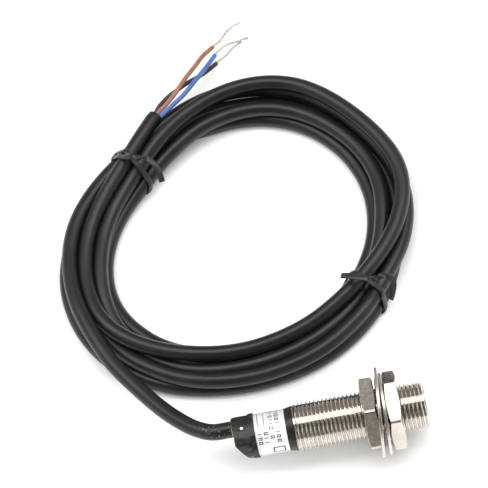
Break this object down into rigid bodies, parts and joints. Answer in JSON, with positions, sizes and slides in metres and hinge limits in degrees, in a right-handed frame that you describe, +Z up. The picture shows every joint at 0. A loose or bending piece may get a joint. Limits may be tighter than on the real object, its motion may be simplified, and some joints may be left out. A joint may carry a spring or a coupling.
{
  "type": "cylindrical proximity sensor",
  "caption": "Threaded cylindrical proximity sensor with hexagon nuts, toothed lock washers and a tied coil of black cable ending in bare-ended coloured cores.",
  "frame": {"origin": "on the surface it lies on, below the middle of the sensor's length from the cable neck to the sensing face", "axes": "+X along the barrel's axis towards the sensing face, +Z up; the cable leaves at -X and its coil lies on the +Y side"},
  "size_m": [0.092, 0.1359, 0.022],
  "materials": {
    "nickel_plate": "bright nickel plate over turned threads",
    "nut_nickel": "nickel plate, lightly scuffed",
    "washer_steel": "nickel plated stamped steel",
    "face_plastic": "smooth matt face",
    "ferrite": "fired and ground ferrite",
    "bobbin_plastic": "moulded",
    "enamelled_copper": "enamelled",
    "board_laminate": "solder mask over glass laminate",
    "chip_plastic": "moulded epoxy",
    "resistor_ceramic": "glazed",
    "capacitor_ceramic": "fired ceramic",
    "capacitor_resin": "dipped resin",
    "led_resin": "clear tinted resin",
    "window_plastic": "translucent white",
    "potting_resin": "poured resin",
    "black_plastic": "moulded, slight sheen",
    "label_foil": "silvery wrapped label with printed marks",
    "cable_pvc": "soft matt jacket",
    "core_brown": "soft insulation",
    "core_blue": "soft insulation",
    "core_black": "soft insulation",
    "tinned_copper": "twisted tinned strands",
    "tie_plastic": "plastic coated wire ribbon"
  },
  "bodies": {
    "root": {"barrel": "nickel_plate", "sensing_face": "face_plastic", "ferrite_core": "ferrite", "coil_bobbin": "bobbin_plastic", "coil_winding": "enamelled_copper", "coil_leads": "enamelled_copper", "circuit_board": "board_laminate", "oscillator_chip": "chip_plastic", "output_transistor": "chip_plastic", "voltage_regulator": "chip_plastic", "chip_resistors": "resistor_ceramic", "chip_capacitors": "capacitor_ceramic", "tantalum_capacitor": "capacitor_resin", "indicator_led": "led_resin", "light_window": "window_plastic", "potting_plug": "potting_resin", "rear_sleeve": "black_plastic", "end_cap": "black_plastic", "rating_label": "label_foil", "cable_stub": "cable_pvc", "core_brown": "core_brown", "core_blue": "core_blue", "core_black": "core_black", "cable_lead": "cable_pvc", "cable_coil": "cable_pvc", "wire_brown": "core_brown", "wire_blue": "core_blue", "wire_black": "core_black", "strand_brown": "tinned_copper", "strand_blue": "tinned_copper", "strand_black": "tinned_copper", "tie_left": "tie_plastic", "tie_right": "tie_plastic"},
    "rear_washer": {"rear_lock_washer": "washer_steel"},
    "rear_nut": {"rear_nut": "nut_nickel"},
    "front_washer": {"front_lock_washer": "washer_steel"},
    "front_nut": {"front_nut": "nut_nickel"}
  },
  "joints": [
    {"name": "rear_washer_slide", "type": "slide", "parent": "root", "child": "rear_washer", "axis": [1, 0, 0], "range_m": [-0.016, 0]},
    {"name": "rear_nut_turn", "type": "hinge", "parent": "rear_washer", "child": "rear_nut", "pos_m": [0.01035, 0, 0.011], "axis": [1, 0, 0], "range_deg": [-5760, 0]},
    {"name": "front_washer_slide", "type": "slide", "parent": "root", "child": "front_washer", "axis": [1, 0, 0], "range_m": [0, 0.0055]},
    {"name": "front_nut_turn", "type": "hinge", "parent": "front_washer", "child": "front_nut", "pos_m": [0.01605, 0, 0.011], "axis": [1, 0, 0], "range_deg": [0, 1980]}
  ],
  "couplings": [
    {"joint": "rear_washer_slide", "follows": "rear_nut_turn", "m_per_rad": 0.00015915},
    {"joint": "front_washer_slide", "follows": "front_nut_turn", "m_per_rad": 0.00015915}
  ]
}
